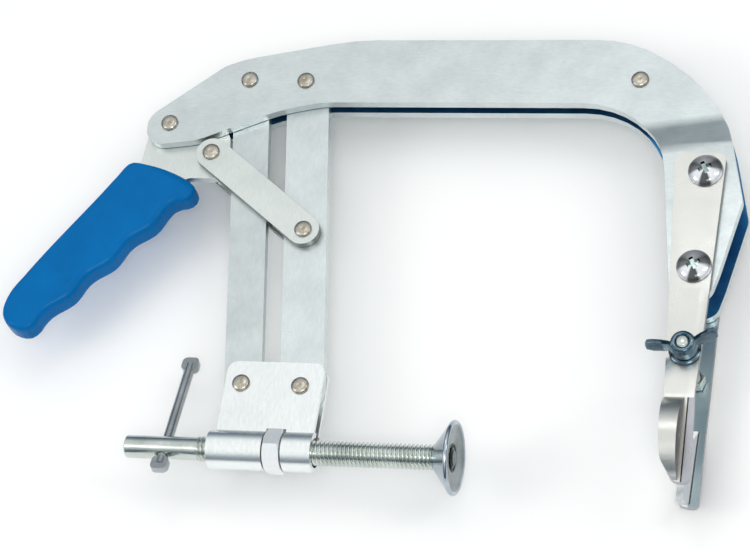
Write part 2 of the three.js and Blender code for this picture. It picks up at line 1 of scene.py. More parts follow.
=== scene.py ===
import json
from math import radians, tan, pi

import bpy
import bmesh
from mathutils import Matrix, Vector

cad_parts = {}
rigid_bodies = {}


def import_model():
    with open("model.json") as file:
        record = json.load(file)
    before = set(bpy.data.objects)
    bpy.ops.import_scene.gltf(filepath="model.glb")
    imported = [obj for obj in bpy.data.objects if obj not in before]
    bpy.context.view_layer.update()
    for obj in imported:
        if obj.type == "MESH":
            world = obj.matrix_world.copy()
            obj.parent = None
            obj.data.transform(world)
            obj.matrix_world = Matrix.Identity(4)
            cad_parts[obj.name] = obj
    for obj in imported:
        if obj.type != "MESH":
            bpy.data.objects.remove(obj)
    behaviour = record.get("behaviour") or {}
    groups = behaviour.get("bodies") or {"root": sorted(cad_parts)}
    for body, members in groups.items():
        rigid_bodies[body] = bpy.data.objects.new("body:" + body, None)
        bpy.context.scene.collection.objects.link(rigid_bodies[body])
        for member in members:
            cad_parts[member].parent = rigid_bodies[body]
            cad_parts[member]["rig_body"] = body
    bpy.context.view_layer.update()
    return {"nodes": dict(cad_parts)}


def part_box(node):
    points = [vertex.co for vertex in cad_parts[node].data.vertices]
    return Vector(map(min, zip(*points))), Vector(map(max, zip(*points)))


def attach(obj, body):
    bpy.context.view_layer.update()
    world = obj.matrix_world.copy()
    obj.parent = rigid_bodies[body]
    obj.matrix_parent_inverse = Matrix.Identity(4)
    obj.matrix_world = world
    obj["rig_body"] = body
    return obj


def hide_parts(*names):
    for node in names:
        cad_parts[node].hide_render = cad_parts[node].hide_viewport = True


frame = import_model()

# Lever-action valve spring compressor, lying flat: X along the frame, Y across the throat, Z up.
mm = 0.001
scene = bpy.context.scene
cadNodes = frame["nodes"]
upright = Vector((0, 0, 1))
along = Vector((1, 0, 0))
midPlane = sum(corner.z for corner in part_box("lever_plate")) / 2


# small helpers
def boxOf(node):
    low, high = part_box(node)
    return Vector(low), Vector(high)


def middleOf(node):
    low, high = boxOf(node)
    return (low + high) / 2


def clean(bm):
    bmesh.ops.remove_doubles(bm, verts=bm.verts, dist=0.002 * mm)
    bmesh.ops.recalc_face_normals(bm, faces=bm.faces)


def spinProfile(bm, points, centre, axis, steps):
    # points are (along the axis, away from the axis) in mm; the first and last lie on the axis or close up
    side = Vector((0, 0, 1)) if abs(axis.z) < 0.5 else Vector((1, 0, 0))
    verts = [bm.verts.new(centre + axis * (a * mm) + side * (r * mm)) for a, r in points]
    edges = [bm.edges.new(pair) for pair in zip(verts, verts[1:])]
    bmesh.ops.spin(bm, geom=verts + edges, cent=centre, axis=axis, dvec=(0, 0, 0),
                   angle=2 * pi, steps=steps, use_merge=True)


def finishPiece(name, bm, node, finish, replaced=None, smoothTo=32, weighted=False):
    mesh = bpy.data.meshes.new(name)
    bm.to_mesh(mesh)
    bm.free()
    piece = bpy.data.objects.new(name, mesh)
    scene.collection.objects.link(piece)
    mesh.materials.append(finish)
    mesh.shade_smooth()
    mesh.set_sharp_from_angle(angle=radians(smoothTo))
    if weighted:
        even = piece.modifiers.new("evenNormals", "WEIGHTED_NORMAL")
        even.keep_sharp = True
        even.weight = 80
    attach(piece, cadNodes[node]["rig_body"])
    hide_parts(*(replaced or [node]))
    return piece


def mergedCopy(node):
    bm = bmesh.new()
    bm.from_mesh(cadNodes[node].data)
    bmesh.ops.remove_doubles(bm, verts=bm.verts, dist=0.001 * mm)
    bmesh.ops.dissolve_limit(bm, angle_limit=radians(0.4), verts=bm.verts, edges=bm.edges,
                             delimit={"NORMAL"})
    return bm


def edgesBetween(bm, least, most, shortest=None):
    found = []
    for edge in bm.edges:
        if len(edge.link_faces) != 2:
            continue
        angle = edge.calc_face_angle()
        longEnough = not shortest or edge.calc_length() > shortest * mm
        if radians(least) < angle < radians(most) and longEnough:
            found.append(edge)
    return found


def rounded(bm, edges, radius, segments):
    bmesh.ops.bevel(bm, geom=edges, offset=radius * mm, segments=segments, profile=0.5,
                    affect="EDGES", clamp_overlap=True, material=-1)


def softened(node, name, finish, edge=0.35, segments=2, shape=None, extra=(), pick=None, smoothTo=32):
    # shape works on the mesh first; pick gives each face the number of its finish, 0 then the extra ones
    bm = mergedCopy(node)
    if shape:
        shape(bm)
    rounded(bm, edgesBetween(bm, 40, 181), edge, segments)
    if pick:
        bm.normal_update()
        for face in bm.faces:
            face.material_index = pick(face)
    piece = finishPiece(name, bm, node, finish, smoothTo=smoothTo, weighted=True)
    for other in extra:
        piece.data.materials.append(other)
    return piece


def outward(node):
    return 1 if middleOf(node).z > midPlane else -1


# finishes
def newFinish(name):
    finish = bpy.data.materials.new(name)
    finish.use_nodes = True
    nodes = finish.node_tree.nodes
    links = finish.node_tree.links
    return finish, nodes, links, nodes["Principled BSDF"]


def noiseOn(nodes, links, scale, stretch=(1, 1, 1), detail=3, rough=0.55, turn=0):
    place = nodes.new("ShaderNodeTexCoord")
    mapping = nodes.new("ShaderNodeMapping")
    mapping.inputs["Scale"].default_value = stretch
    mapping.inputs["Rotation"].default_value = (0, 0, turn)
    noise = nodes.new("ShaderNodeTexNoise")
    noise.inputs["Scale"].default_value = scale
    noise.inputs["Detail"].default_value = detail
    noise.inputs["Roughness"].default_value = rough
    links.new(place.outputs["Object"], mapping.inputs["Vector"])
    links.new(mapping.outputs["Vector"], noise.inputs["Vector"])
    return noise.outputs["Fac"]


def rampOf(nodes, links, source, stops):
    ramp = nodes.new("ShaderNodeValToRGB")
    ramp.color_ramp.elements[0].position = stops[0][0]
    ramp.color_ramp.elements[0].color = (*stops[0][1], 1)
    ramp.color_ramp.elements[1].position = stops[-1][0]
    ramp.color_ramp.elements[1].color = (*stops[-1][1], 1)
    for at, color in stops[1:-1]:
        ramp.color_ramp.elements.new(at).color = (*color, 1)
    links.new(source, ramp.inputs["Fac"])
    return ramp.outputs["Color"]


def spanOf(nodes, links, source, low, high, fromLow=0.3, fromHigh=0.7):
    span = nodes.new("ShaderNodeMapRange")
    span.inputs["From Min"].default_value = fromLow
    span.inputs["From Max"].default_value = fromHigh
    span.inputs["To Min"].default_value = low
    span.inputs["To Max"].default_value = high
    links.new(source, span.inputs["Value"])
    return span.outputs["Result"]


def mixed(nodes, links, first, second, amount, way="MIX"):
    mix = nodes.new("ShaderNodeMix")
    mix.data_type = "RGBA"
    mix.blend_type = way
    if isinstance(amount, float):
        mix.inputs["Factor"].default_value = amount
    else:
        links.new(amount, mix.inputs["Factor"])
    links.new(first, mix.inputs["A"])
    links.new(second, mix.inputs["B"])
    return mix.outputs["Result"]


def metalFinish(name, look):
    finish, nodes, links, shader = newFinish(name)
    mottle = noiseOn(nodes, links, look["mottleScale"], detail=4)
    grain = noiseOn(nodes, links, look["grainScale"], look["grainStretch"], detail=2,
                    turn=look["grainTurn"])
    base = rampOf(nodes, links, mottle, [(0.32, look["dark"]), (0.68, look["light"])])
    fine = rampOf(nodes, links, grain, [(0.3, (look["grainDark"],) * 3), (0.7, (1.0, 1.0, 1.0))])
    links.new(mixed(nodes, links, base, fine, 1.0, "MULTIPLY"), shader.inputs["Base Color"])
    smudge = noiseOn(nodes, links, look["mottleScale"] * 2.3, detail=5, rough=0.65)
    links.new(spanOf(nodes, links, smudge, *look["roughness"]), shader.inputs["Roughness"])
    bump = nodes.new("ShaderNodeBump")
    bump.inputs["Strength"].default_value = look["bump"]
    bump.inputs["Distance"].default_value = 0.0001
    links.new(grain, bump.inputs["Height"])
    links.new(bump.outputs["Normal"], shader.inputs["Normal"])
    shader.inputs["Metallic"].default_value = look["metallic"]
    return finish


zincSheetLook = {
    "dark": (0.62, 0.67, 0.67), "light": (0.71, 0.765, 0.765), "mottleScale": 60, "grainScale": 900,
    "grainStretch": (0.35, 1, 1), "grainTurn": 0.0, "grainDark": 0.93, "roughness": (0.26, 0.42),
    "bump": 0.05, "metallic": 0.95,
}
barZincLook = {
    **zincSheetLook, "dark": (0.57, 0.62, 0.62), "light": (0.7, 0.75, 0.745), "grainStretch": (1, 0.3, 1),
    "grainTurn": 0.14, "mottleScale": 45,
}
# painted light: a lighter copy of the bar zinc for the right bar, standing for the brighter light on that
# side of the tool
rightBarLitLook = {**barZincLook, "dark": (0.66, 0.71, 0.71), "light": (0.76, 0.815, 0.815)}
linkZincLook = {**barZincLook, "dark": (0.7, 0.74, 0.71), "light": (0.78, 0.82, 0.79), "grainTurn": 0.9}
bracketZincLook = {
    **barZincLook, "dark": (0.88, 0.915, 0.91), "light": (0.92, 0.955, 0.95), "roughness": (0.24, 0.28),
    "bump": 0.04,
}
# painted highlight: a near-white copy of the bracket zinc for the captive nut's facets, also used for the
# painted highlight inside the claw pockets
nutHighlightLook = {**bracketZincLook, "dark": (0.95, 0.97, 0.97), "light": (0.99, 1.0, 1.0), "metallic": 0.55}
# painted shade: a dark blue copy of the sheet zinc for the faces between the plates, where shade falls, with
# a painted blue reflection
innerShadeLook = {
    **zincSheetLook, "dark": (0.035, 0.21, 0.44), "light": (0.07, 0.31, 0.57), "roughness": (0.3, 0.42),
}
armLook = {
    **zincSheetLook, "dark": (0.625, 0.625, 0.59), "light": (0.665, 0.665, 0.63), "grainScale": 1300,
    "grainStretch": (1, 0.5, 1), "roughness": (0.26, 0.34), "metallic": 0.95, "bump": 0.03,
    "grainDark": 0.975,
}
# painted shadow: a dark copy of the arm steel for cut edges and side faces, standing for the contact shadow
# along the edges
edgeShadowLook = {**armLook, "dark": (0.17, 0.185, 0.175), "light": (0.24, 0.26, 0.25)}
# painted shade: a darker mauve-grey copy of the arm steel for the flange beside the claw and the sides of
# its tip
flangeShadeLook = {**armLook, "dark": (0.36, 0.36, 0.39), "light": (0.42, 0.42, 0.455)}
# painted shadow: a near-black copy of the arm steel for the crease at the claw's fold
foldShadowLook = {**armLook, "dark": (0.025, 0.025, 0.02), "light": (0.07, 0.07, 0.06)}
# painted shade: a darker blue-grey copy of the arm steel for the faces turned to the other arm
armInnerShadeLook = {**armLook, "dark": (0.36, 0.46, 0.5), "light": (0.58, 0.66, 0.69), "mottleScale": 28}
rivetLook = {
    **zincSheetLook, "dark": (0.4, 0.36, 0.29), "light": (0.66, 0.62, 0.54), "mottleScale": 300,
    "grainScale": 2600, "grainStretch": (1, 1, 1), "grainDark": 0.8, "roughness": (0.22, 0.36),
    "bump": 0.35, "metallic": 0.95,
}
chromeLook = {
    **zincSheetLook, "dark": (0.8, 0.81, 0.81), "light": (0.88, 0.89, 0.9), "roughness": (0.05, 0.12),
    "grainStretch": (1, 1, 1), "grainDark": 0.98, "bump": 0.05, "metallic": 1.0,
}
screwLook = {
    **zincSheetLook, "dark": (0.52, 0.57, 0.53), "light": (0.7, 0.74, 0.7), "mottleScale": 80,
    "grainStretch": (1, 1, 1), "roughness": (0.16, 0.28), "bump": 0.12, "metallic": 1.0,
}
tommyLook = {**screwLook, "dark": (0.36, 0.38, 0.39), "light": (0.52, 0.54, 0.55)}
wingLook = {
    **screwLook, "dark": (0.025, 0.07, 0.1), "light": (0.15, 0.21, 0.25), "mottleScale": 210,
    "roughness": (0.1, 0.2),
}
footLook = {
    **chromeLook, "dark": (0.3, 0.36, 0.42), "light": (0.56, 0.61, 0.65), "mottleScale": 60,
    "roughness": (0.08, 0.18),
}
# painted shade: a darker copy of the foot chrome for the dish facing the screw
footDishShadeLook = {
    **footLook, "dark": (0.17, 0.2, 0.21), "light": (0.34, 0.38, 0.39), "roughness": (0.2, 0.34),
}
# painted shadow: a near-black copy of the foot chrome for hollows where shade falls: the pan heads' recess
# walls, the foot's recess and the screw's end in it
hollowShadowLook = {**footLook, "dark": (0.02, 0.028, 0.03), "light": (0.06, 0.075, 0.075), "mottleScale": 200}
# painted shade: a darker copy of the foot chrome for the floor of the pan heads' cross recess
recessShadeLook = {**footLook, "dark": (0.24, 0.32, 0.31), "light": (0.5, 0.6, 0.58), "mottleScale": 260}
# painted reflection: light and dark sectors painted round the axis of a turned face, standing for its
# butterfly reflection, from the left: (share of a turn, brightness)
paintedReflectionSectors = [
    (0.0, 0.2), (0.045, 0.24), (0.08, 1.0), (0.19, 1.0), (0.215, 0.12), (0.31, 0.08), (0.34, 1.0),
    (0.46, 1.0), (0.51, 0.16), (0.6, 0.08), (0.66, 0.3), (0.78, 0.46), (0.88, 0.34), (0.94, 0.1), (1.0, 0.2),
]
paintedReflectionMetallic = 0.35


# painted reflection: light and dark sectors in the base colour, round each pan head's centre
def paintedReflectionFinish(name, look, centre):
    finish, nodes, links, shader = newFinish(name)
    place = nodes.new("ShaderNodeTexCoord")
    mapping = nodes.new("ShaderNodeMapping")
    mapping.inputs["Location"].default_value = -centre
    sweep = nodes.new("ShaderNodeTexGradient")
    sweep.gradient_type = "RADIAL"
    links.new(place.outputs["Object"], mapping.inputs["Vector"])
    links.new(mapping.outputs["Vector"], sweep.inputs["Vector"])
    stops = [(at, (bright * 0.97, bright * 0.98, bright)) for at, bright in paintedReflectionSectors]
    sectors = rampOf(nodes, links, sweep.outputs["Fac"], stops)
    mottle = noiseOn(nodes, links, 420, detail=3)
    base = rampOf(nodes, links, mottle, [(0.3, look["dark"]), (0.7, look["light"])])
    links.new(mixed(nodes, links, base, sectors, 1.0, "MULTIPLY"), shader.inputs["Base Color"])
    links.new(spanOf(nodes, links, mottle, *look["roughness"]), shader.inputs["Roughness"])
    shader.inputs["Metallic"].default_value = paintedReflectionMetallic
    return finish


gripLook = {"dark": (0.0, 0.125, 0.36), "light": (0.0, 0.15, 0.43), "roughness": (0.2, 0.3)}


def gripFinish(look):
    finish, nodes, links, shader = newFinish("grip_vinyl")
    cloud = noiseOn(nodes, links, 45, detail=3)
    links.new(rampOf(nodes, links, cloud, [(0.3, look["dark"]), (0.7, look["light"])]),
              shader.inputs["Base Color"])
    skin = noiseOn(nodes, links, 1500, detail=3, rough=0.6)
    links.new(spanOf(nodes, links, skin, *look["roughness"]), shader.inputs["Roughness"])
    bump = nodes.new("ShaderNodeBump")
    bump.inputs["Strength"].default_value = 0.12
    bump.inputs["Distance"].default_value = 0.00012
    links.new(skin, bump.inputs["Height"])
    links.new(bump.outputs["Normal"], shader.inputs["Normal"])
    shader.inputs["Specular IOR Level"].default_value = 0.06
    shader.inputs["Coat Weight"].default_value = 0.03
    shader.inputs["Coat Roughness"].default_value = 0.08
    return finish


zincSheet = metalFinish("zinc_sheet", zincSheetLook)
barZinc = metalFinish("zinc_bar", barZincLook)
armSteel = metalFinish("arm_satin", armLook)
rivetSteel = metalFinish("rivet_steel", rivetLook)
screwZinc = metalFinish("screw_zinc", screwLook)
linkZinc = metalFinish("zinc_link", linkZincLook)
rightBarLitZinc = metalFinish("zinc_right_bar_painted_light", rightBarLitLook)
nutHighlightZinc = metalFinish("zinc_nut_painted_highlight", nutHighlightLook)
edgeShadow = metalFinish("edge_painted_shadow", edgeShadowLook)
flangeShade = metalFinish("arm_flange_painted_shade", flangeShadeLook)
foldShadow = metalFinish("arm_fold_painted_shadow", foldShadowLook)
footDishShade = metalFinish("foot_dish_painted_shade", footDishShadeLook)
hollowShadow = metalFinish("hollow_painted_shadow", hollowShadowLook)
recessFloorShade = metalFinish("recess_floor_painted_shade", recessShadeLook)
bracketZinc = metalFinish("zinc_bracket", bracketZincLook)
innerShadeZinc = metalFinish("zinc_inner_painted_shade", innerShadeLook)
armInnerShade = metalFinish("arm_inner_painted_shade", armInnerShadeLook)
wingZinc = metalFinish("wing_zinc", wingLook)
tommySteel = metalFinish("tommy_steel", tommyLook)
footChrome = metalFinish("foot_chrome", footLook)
gripVinyl = gripFinish(gripLook)
print("finishes ready")

# frame plates
plateBend = {"least": 12, "most": 25, "shortest": 6, "reach": 2.8, "cuts": 3}


def roundUpperBend(bm):
    # extra lines either side of the upper bend, then lowered on a smooth curve through it
    bends = edgesBetween(bm, plateBend["least"], plateBend["most"], plateBend["shortest"])
    bends.sort(key=lambda edge: edge.verts[0].co.y + edge.verts[1].co.y)
    upper, lower = bends[-1], bends[0]
    start = upper.verts[0].co.copy()
    line = upper.verts[1].co - start
    across = Vector((-line.y, line.x, 0)).normalized()
    if across.y < 0:
        across.negate()
    reach = plateBend["reach"] * mm
    slope = tan(upper.calc_face_angle()) * (1 if lower.verts[0].co.z > start.z else -1)
    for step in range(-plateBend["cuts"], plateBend["cuts"] + 1):
        geometry = bm.verts[:] + bm.edges[:] + bm.faces[:]
        bmesh.ops.bisect_plane(bm, geom=geometry, dist=0.001 * mm, plane_no=across,
                               plane_co=start + across * (reach * step / plateBend["cuts"]))
    for vert in bm.verts:
        share = abs((vert.co - start).dot(across)) / reach
        if share < 1:
            vert.co.z += slope * reach * (1 - share) ** 2 / 4


def shadedInnerSide(node):
    # faces turned to the middle plane of the tool take the second finish, a dark blue painted shade with a
    # painted blue reflection, for the shade between the two plates
    way = outward(node)
    return lambda face: int(face.normal.z * way < -0.9)


for side in ("front", "rear"):
    plate = f"{side}_frame_plate"
    softened(plate, f"{side}_frame_sheet", zincSheet, edge=0.4, segments=3, shape=roundUpperBend,
             extra=[innerShadeZinc], pick=shadedInnerSide(plate))
for node, finish in (("frame_spacer", zincSheet), ("link_rivet_core", rivetSteel)):
    cadNodes[node].data.materials.clear()
    cadNodes[node].data.materials.append(finish)
print("frame plates ready")

# lever, links, bars
# the cut edges of the links take the second finish, a painted shadow
def shadedCutEdge(face):
    return int(abs(face.normal.z) < 0.92)


for node, finish in (("lever_plate", linkZinc), ("left_bar", barZinc), ("right_bar", rightBarLitZinc)):
    softened(node, node + "_flat", finish, edge=0.4, segments=3)
for node in ("front_link", "rear_link"):
    softened(node, node + "_flat", linkZinc, edge=0.5, segments=3, extra=[edgeShadow], pick=shadedCutEdge)
print("lever, links and bars ready")

# rivets
rivetHead = {
    "shank": 2.9, "height": 1.7, "steps": 40,
    # (height above the seat, radius)
    "profile": [(0.0, 4.1), (0.12, 4.3), (0.5, 4.3), (0.85, 4.1), (1.2, 3.6), (1.5, 2.7),
                (1.65, 1.7), (1.68, 1.0), (1.58, 0.55), (1.52, 0.0)],
}
rivetNodes = ("lever_pivot_rivet", "left_bar_pivot_rivet", "right_bar_pivot_rivet", "frame_spacer_rivet",
              "lever_link_rivet", "bracket_left_rivet", "bracket_right_rivet")
for node in rivetNodes:
    low, high = boxOf(node)
    reach = (high.z - low.z) / 2 / mm - rivetHead["height"]
    top = [(reach + a, r) for a, r in rivetHead["profile"]]
    under = [(-a, r) for a, r in reversed(top)]
    bm = bmesh.new()
    outline = under + [(-reach, rivetHead["shank"]), (reach, rivetHead["shank"])] + top
    spinProfile(bm, outline, middleOf(node), upright, rivetHead["steps"])
    clean(bm)
    finishPiece(node + "_domed", bm, node, rivetSteel, smoothTo=50)
for node, way in (("link_rivet_front_head", 1), ("link_rivet_rear_head", -1)):
    low, high = boxOf(node)
    bottom = low.z if way > 0 else high.z
    seat = (high.z - low.z) / mm - rivetHead["height"]
    outline = [(0, 0), (0, rivetHead["shank"]), (seat, rivetHead["shank"])]
    outline += [(seat + a, r) for a, r in rivetHead["profile"]]
    middle = middleOf(node)
    bm = bmesh.new()
    spinProfile(bm, outline, Vector((middle.x, middle.y, bottom)), upright * way, rivetHead["steps"])
    clean(bm)
    finishPiece(node + "_domed", bm, node, rivetSteel, smoothTo=50)
print("rivets ready")

# grip
gripShape = {
    # mm; successive insets of the cap, and the half thickness there along the back and on the finger side
    "rings": [(0.0, 3.9, 3.4), (0.25, 5.1, 4.4), (0.45, 5.9, 5.1), (0.6, 6.4, 5.6), (0.9, 6.7, 6.1),
              (1.1, 6.75, 6.55), (0.5, 6.78, 6.75)],
    "slab": 3.5, "voxel": 0.6, "smooth": 3,
}


def fingerSide(point, middle):
    # 1 along the scalloped edge, 0 along the back edge
    away = (point - middle).dot(Vector((0.857, -0.514, 0))) / mm
    return min(1.0, max(0.0, (away + 8) / 12))


def makeGrip(shape):
    middle = middleOf("grip")
    bm = bmesh.new()
    bm.from_mesh(cadNodes["grip"].data)
    bmesh.ops.remove_doubles(bm, verts=bm.verts, dist=0.001 * mm)
    everything = bm.verts[:] + bm.edges[:] + bm.faces[:]
    slabTop = middle + upright * shape["slab"] * mm
    bmesh.ops.bisect_plane(bm, geom=everything, dist=0.0001 * mm, plane_co=slabTop, plane_no=upright,
                           clear_outer=True, clear_inner=True)
    # the walls' diagonals leave extra points on the cut, so only the evenly spaced ones stay
    bmesh.ops.remove_doubles(bm, verts=bm.verts, dist=0.9 * mm)
    face = bmesh.ops.contextual_create(bm, geom=bm.edges[:])["faces"][0]
    if face.normal.z < 0:
        face.normal_flip()
    pulled = bmesh.ops.extrude_face_region(bm, geom=[face])
    under = [g for g in pulled["geom"] if isinstance(g, bmesh.types.BMVert)]
    bmesh.ops.translate(bm, verts=under, vec=upright * -2 * shape["slab"] * mm)
    bmesh.ops.recalc_face_normals(bm, faces=bm.faces)
    for way in (1, -1):
        cap = max(bm.faces, key=lambda f: f.calc_center_median().z * way)
        for inset, onBack, onFingers in shape["rings"]:
            if inset:
                bmesh.ops.inset_region(bm, faces=[cap], thickness=inset * mm, depth=0,
                                       use_even_offset=False)
            for vert in cap.verts:
                share = fingerSide(vert.co, middle)
                vert.co.z = middle.z + way * mm * (onBack * (1 - share) + onFingers * share)
    clean(bm)
    piece = finishPiece("grip_moulded", bm, "grip", gripVinyl, smoothTo=180)
    melt = piece.modifiers.new("melt", "REMESH")
    melt.mode = "VOXEL"
    melt.voxel_size = shape["voxel"] * mm
    melt.use_smooth_shade = True
    ease = piece.modifiers.new("ease", "SMOOTH")
    ease.factor = 0.5
    ease.iterations = shape["smooth"]


makeGrip(gripShape)
print("grip ready")

# bracket, nut
softened("screw_bracket", "screw_bracket_folded", bracketZinc, edge=0.45, segments=3)
nutShape = {"widthShare": 0.9, "chamfer": 0.4}
nut = softened("captive_nut", "captive_nut_hex", nutHighlightZinc, edge=nutShape["chamfer"], segments=2, smoothTo=25)
nutMiddle = middleOf("captive_nut").x
for vert in nut.data.vertices:
    vert.co.x = nutMiddle + (vert.co.x - nutMiddle) * nutShape["widthShare"]

# screw
screwThread = {"radius": 5.95, "pitch": 2.0, "depth": 1.05, "steps": 28}
boltThread = {"radius": 2.95, "pitch": 1.0, "depth": 0.5, "steps": 16}
endSoftening = 0.25
# mm; the plain head's length, the gap before the foot, how far past the foot's back the peened end starts
screwEnds = {"head": 36.6, "gap": 0.4, "peened": 5.5}


def threadBetween(bm, start, axis, length, thread):
    # one pitch of the flank, wound up the axis, then cut flat at both ends and closed
    side = Vector((0, 0, 1)) if abs(axis.z) < 0.5 else Vector((1, 0, 0))
    pitch, crest = thread["pitch"], thread["radius"]
    root = crest - thread["depth"]
    points = [(0.0, root), (0.14, root), (0.44, crest - 0.06), (0.5, crest), (0.62, crest),
              (0.68, crest - 0.06), (1.0, root)]
    turns = int(length / pitch) + 3
    verts = [bm.verts.new(start + axis * ((a - 1.5) * pitch * mm) + side * (r * mm)) for a, r in points]
    edges = [bm.edges.new(pair) for pair in zip(verts, verts[1:])]
    steps = thread["steps"] * turns
    rise = axis * (pitch * mm / thread["steps"])
    bmesh.ops.spin(bm, geom=verts + edges, cent=start, axis=axis, dvec=rise,
                   angle=2 * pi * turns, steps=steps, use_merge=False)
    bmesh.ops.remove_doubles(bm, verts=bm.verts, dist=0.01 * mm)
    for at, keepSide in ((start, -1), (start + axis * length * mm, 1)):
        geometry = bm.verts[:] + bm.edges[:] + bm.faces[:]
        bmesh.ops.bisect_plane(bm, geom=geometry, dist=0.0001 * mm, plane_co=at, plane_no=axis * keepSide,
                               clear_outer=True)
        rim = [e for e in bm.edges if e.is_boundary and all(abs((v.co - at).dot(axis)) < 0.001 * mm
                                                            for v in e.verts)]
        bmesh.ops.contextual_create(bm, geom=rim)
    bmesh.ops.recalc_face_normals(bm, faces=bm.faces)


def addTo(bm, other):
    keep = bpy.data.meshes.new("part")
    other.to_mesh(keep)
    other.free()
    bm.from_mesh(keep)
    bpy.data.meshes.remove(keep)


def cutPart(node, at, axis, way):
    bm = mergedCopy(node)
    geometry = bm.verts[:] + bm.edges[:] + bm.faces[:]
    bmesh.ops.bisect_plane(bm, geom=geometry, dist=0.0001 * mm, plane_co=at, plane_no=axis * way,
                           clear_outer=True)
    rim = [e for e in bm.edges if e.is_boundary]
    bmesh.ops.contextual_create(bm, geom=rim)
    return bm


def makeScrew():
    low = boxOf("screw")[0]
    padLow = boxOf("foot_pad")[0]
    axisPoint = Vector((0, middleOf("foot_pad").y, middleOf("foot_pad").z))
    headEnd = low.x + screwEnds["head"] * mm
    threadEnd = padLow.x - screwEnds["gap"] * mm
    bm = cutPart("screw", axisPoint + along * headEnd, along, 1)
    rounded(bm, edgesBetween(bm, 40, 181), endSoftening, 2)
    addTo(bm, cutPart("screw", axisPoint + along * threadEnd, along, -1))
    wound = bmesh.new()
    threadBetween(wound, axisPoint + along * headEnd, along, (threadEnd - headEnd) / mm, screwThread)
    addTo(bm, wound)
    # faces past the start of the peened end take the painted shadow of the foot's recess
    for face in bm.faces:
        face.material_index = int(face.calc_center_median().x > padLow.x + screwEnds["peened"] * mm)
    piece = finishPiece("screw_threaded", bm, "screw", screwZinc, smoothTo=28)
    piece.data.materials.append(hollowShadow)


makeScrew()

# foot: a turned disc with a hollow back and a recess for the peened end of the screw
footProfile = [
    (0.0, 3.3), (0.0, 6.1), (0.2, 6.3), (7.6, 16.4), (8.0, 17.0), (8.4, 17.4), (8.7, 17.5), (9.3, 17.5),
    (9.7, 17.3), (10.1, 16.9), (10.2, 16.4), (10.1, 15.9), (9.8, 15.5), (9.1, 12.0), (8.7, 8.0), (8.4, 6.8),
    (7.9, 6.1), (6.6, 5.7), (6.3, 5.3), (6.3, 3.3), (0.0, 3.3),
]
# mm; radius of the dish, and radius and height of the recess in its middle
footZones = {"dish": 15.6, "recess": 6.9, "recessFloorShade": 6.2, "steps": 96}


def makeFoot():
    low = boxOf("foot_pad")[0]
    bm = bmesh.new()
    middle = middleOf("foot_pad")
    spinProfile(bm, footProfile, Vector((low.x, middle.y, middle.z)), along, footZones["steps"])
    clean(bm)
    # the dish takes a painted shade, the recess a painted shadow
    for face in bm.faces:
        place = face.calc_center_median()
        reach = (place - Vector((place.x, middle.y, middle.z))).length / mm
        if face.normal.x > 0.2 and reach < footZones["dish"]:
            face.material_index = 1
        if place.x > low.x + footZones["recessFloorShade"] * mm and reach < footZones["recess"]:
            face.material_index = 2
    piece = finishPiece("foot_pad_turned", bm, "foot_pad", footChrome, smoothTo=40)
    piece.data.materials.append(footDishShade)
    piece.data.materials.append(hollowShadow)


makeFoot()
softened("tommy_bar", "tommy_bar_forged", tommySteel, edge=0.35, segments=3, smoothTo=40)
print("screw, foot and tommy bar ready")

# clamp arms
armZones = {
    # mm; where the claw starts, the plane of its side wall, then strips beside the fold: the reach of the
    # painted highlight in the pocket, the end of a satin strip, and the end of a painted shadow line, after
    # which the flange takes a painted shade
    "clawTop": -77.0, "wall": 164.1, "litPocketEdge": 0.8, "lip": 1.4, "shadowLine": 2.1, "end": -114.5,
}


def clawLines(bm):
    cuts = [(Vector((0, armZones["clawTop"], 0)), Vector((0, 1, 0)))]
    for name in ("litPocketEdge", "lip", "shadowLine"):
        cuts.append((Vector((armZones["wall"] + armZones[name], 0, 0)), along))
    for place, way in cuts:
        geometry = bm.verts[:] + bm.edges[:] + [f for f in bm.faces if f.calc_center_median().y < -40 * mm]
        bmesh.ops.bisect_plane(bm, geom=geometry, dist=0.0001 * mm, plane_co=place * mm, plane_no=way)


def armFaces(node):
    # 0 satin, 1 inner side in painted shade, 2 cut edge in painted shadow, 3 painted shadow in the fold, 4
    # flange beside the claw in painted shade, 5 pocket with a painted highlight
    way = outward(node)

    def pick(face):
        place = face.calc_center_median() / mm
        facing = face.normal.z * way
        beside = place.x - armZones["wall"]
        if place.y > armZones["clawTop"]:
            return 2 if abs(facing) < 0.92 else int(facing < 0)
        if face.normal.x > 0.6 and abs(beside) < 0.6:
            return 3
        if abs(facing) < 0.6 and (place.y < armZones["end"] or beside > 5):
            return 4
        if facing > 0.1 and beside > 0:
            return 0 if beside < armZones["lip"] else 3 if beside < armZones["shadowLine"] else 4
        if facing < -0.2:
            return 5 if beside < armZones["litPocketEdge"] else 1 if facing < -0.93 else 2
        return 0
    return pick


for side in ("front", "rear"):
    softened(side + "_arm", side + "_arm_pressed", armSteel, edge=0.5, segments=3, smoothTo=35,
             shape=clawLines, extra=[armInnerShade, edgeShadow, foldShadow, flangeShade, nutHighlightZinc],
             pick=armFaces(side + "_arm"))

panHead = {"steps": 48, "height": 3.8, "recess": 4.4, "arm": 1.15, "floor": 2.3, "turn": 0.5,
           # the recess is painted with shade within this radius: a painted shadow on its walls, a lighter
           # painted shade on its floor up to the second height
           "inside": 4.8, "lowest": 2.0, "floorTop": 2.45,
           "profile": [(0.0, 7.9), (0.15, 8.15), (0.5, 8.2), (1.0, 8.1), (1.7, 7.6), (2.4, 6.65),
                       (3.0, 5.35), (3.45, 3.7), (3.7, 1.9), (3.78, 0.0)]}


